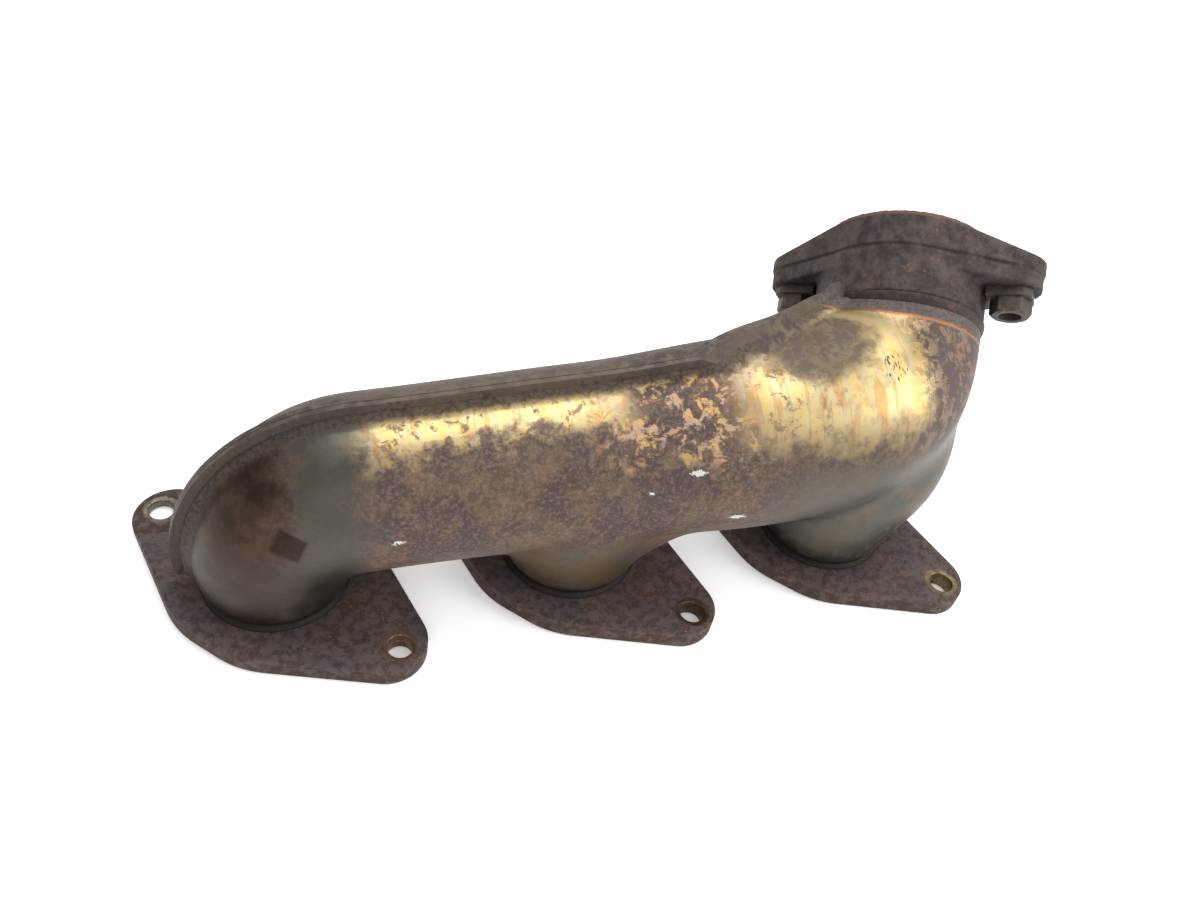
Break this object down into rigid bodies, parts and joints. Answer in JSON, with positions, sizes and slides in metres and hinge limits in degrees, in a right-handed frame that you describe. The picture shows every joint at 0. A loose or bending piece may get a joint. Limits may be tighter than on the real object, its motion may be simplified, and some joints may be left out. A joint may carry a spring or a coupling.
{
  "type": "exhaust manifold",
  "caption": "Air-gap exhaust manifold of sheet steel: a row of port flanges, a seamed double-walled collector tube and a cast outlet flange that turns up and away at one end.",
  "frame": {"origin": "centre of the middle port on the face that meets the cylinder head", "axes": "+X along the row of ports towards the outlet end, +Y to the side the outlet leaves on, +Z away from the cylinder head"},
  "size_m": [0.3284, 0.1265, 0.1273],
  "materials": {
    "rusty_flange": "mild steel plate, purple-brown with rust, matt",
    "inner_pipe": "thin stainless tube, dulled by heat",
    "weld": "dark scaled weld bead",
    "wire_mesh": "pressed stainless wire mesh",
    "tinted_shell": "stainless sheet tinted straw, brown and blue by heat",
    "cast_outlet": "rough casting with a rust film",
    "nut_steel": "dark scaled steel"
  },
  "bodies": {
    "root": {"front_port_flange": "rusty_flange", "middle_port_flange": "rusty_flange", "rear_port_flange": "rusty_flange", "front_inner_pipe": "inner_pipe", "middle_inner_pipe": "inner_pipe", "rear_inner_pipe": "inner_pipe", "front_pipe_weld": "weld", "middle_pipe_weld": "weld", "rear_pipe_weld": "weld", "front_support_ring": "wire_mesh", "middle_support_ring": "wire_mesh", "outer_shell_front": "tinted_shell", "outer_shell_back": "tinted_shell", "front_shell_weld": "weld", "middle_shell_weld": "weld", "rear_shell_weld": "weld", "outlet_flange": "cast_outlet", "outlet_shell_weld": "weld", "left_nut_plate": "nut_steel", "right_nut_plate": "nut_steel", "left_outlet_nut": "nut_steel", "right_outlet_nut": "nut_steel"}
  },
  "joints": []
}
